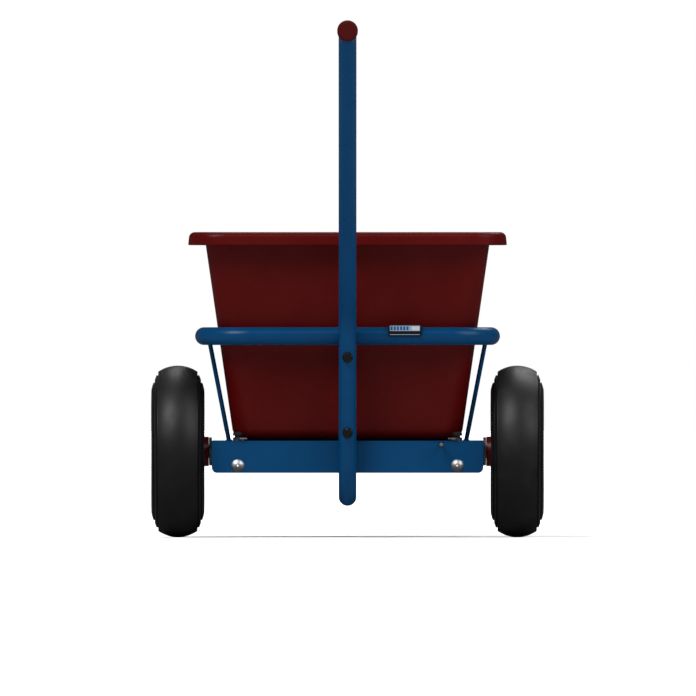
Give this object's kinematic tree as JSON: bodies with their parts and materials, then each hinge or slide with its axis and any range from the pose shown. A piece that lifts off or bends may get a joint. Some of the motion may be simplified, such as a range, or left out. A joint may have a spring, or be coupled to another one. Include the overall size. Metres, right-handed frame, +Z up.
{
  "type": "walk-behind garden spreader",
  "caption": "Push-along garden spreader: tapered red tub with an agitated, gated outlet on a blue steel frame, two pneumatic wheels and one bent mast handle.",
  "frame": {"origin": "on the ground, under the middle of the whole object's box; the wheel axle is 230 mm ahead of it", "axes": "+X to the user's right along the axle, +Y the way the spreader is pushed, +Z up"},
  "size_m": [0.594, 0.984, 0.7755],
  "materials": {
    "frame_paint": "semi-gloss powder coat, dark blue",
    "tub_plastic": "satin moulded plastic, dark red",
    "wheel_plastic": "moulded plastic, dark red",
    "grip_plastic": "soft matt plastic, dark red",
    "tyre_rubber": "matt black rubber",
    "tube_rubber": "smooth black rubber",
    "zinc": "bright zinc plate",
    "axle_steel": "drawn bright steel",
    "agitator_steel": "welded steel, zinc plate",
    "black_steel": "blackened steel",
    "bearing_plastic": "grey bearing plastic",
    "bush_plastic": "natural nylon",
    "knob_plastic": "black moulded plastic",
    "valve_brass": "brass with rubber base",
    "badge_plastic": "black moulded plastic",
    "badge_face": "printed pale plate"
  },
  "bodies": {
    "frame": {"axle_housing": "frame_paint", "housing_top": "frame_paint", "tie_plate_left": "frame_paint", "tie_plate_right": "frame_paint", "tie_bolts": "zinc", "tie_nuts": "zinc", "chute_frame": "frame_paint", "gate_guides": "zinc", "axle_bearing_left": "bearing_plastic", "axle_bearing_right": "bearing_plastic", "tub": "tub_plastic", "tub_clips": "zinc", "tub_bolts": "zinc", "tub_knobs": "knob_plastic", "hoop": "frame_paint", "stays_left": "frame_paint", "stays_right": "frame_paint", "mast_strap": "frame_paint", "mast_tube": "frame_paint", "mast_saddles": "black_steel", "mast_bolts": "black_steel", "mast_nuts": "black_steel", "foot_bracket": "frame_paint", "bracket_bolts": "zinc", "bracket_nuts": "zinc", "foot_plug": "knob_plastic", "grip": "grip_plastic", "badge_holder": "badge_plastic", "badge_plate": "badge_face"},
    "drive_axle": {"axle": "axle_steel", "agitator_sleeve": "agitator_steel", "agitator_fingers": "agitator_steel", "agitator_pins": "zinc", "axle_washers": "zinc", "cotter_pins": "zinc", "tyre_left": "tyre_rubber", "inner_tube_left": "tube_rubber", "rim_left": "wheel_plastic", "hub_bushes_left": "bush_plastic", "valve_left": "valve_brass", "drive_bolt": "zinc", "drive_nut": "zinc"},
    "right_wheel": {"tyre_right": "tyre_rubber", "inner_tube_right": "tube_rubber", "rim_right": "wheel_plastic", "hub_bushes_right": "bush_plastic", "valve_right": "valve_brass"},
    "gate": {"gate_plate": "zinc", "gate_boss": "zinc", "gate_boss_pin": "zinc", "gate_rod": "zinc"}
  },
  "joints": [
    {"name": "drive_axle_spin", "type": "hinge", "parent": "frame", "child": "drive_axle", "pos_m": [0, 0.23, 0.13], "axis": [1, 0, 0], "continuous": true},
    {"name": "right_wheel_spin", "type": "hinge", "parent": "frame", "child": "right_wheel", "pos_m": [0.257, 0.23, 0.13], "axis": [1, 0, 0], "continuous": true},
    {"name": "gate_slide", "type": "slide", "parent": "frame", "child": "gate", "axis": [0, -1, 0], "range_m": [0, 0.024]}
  ]
}
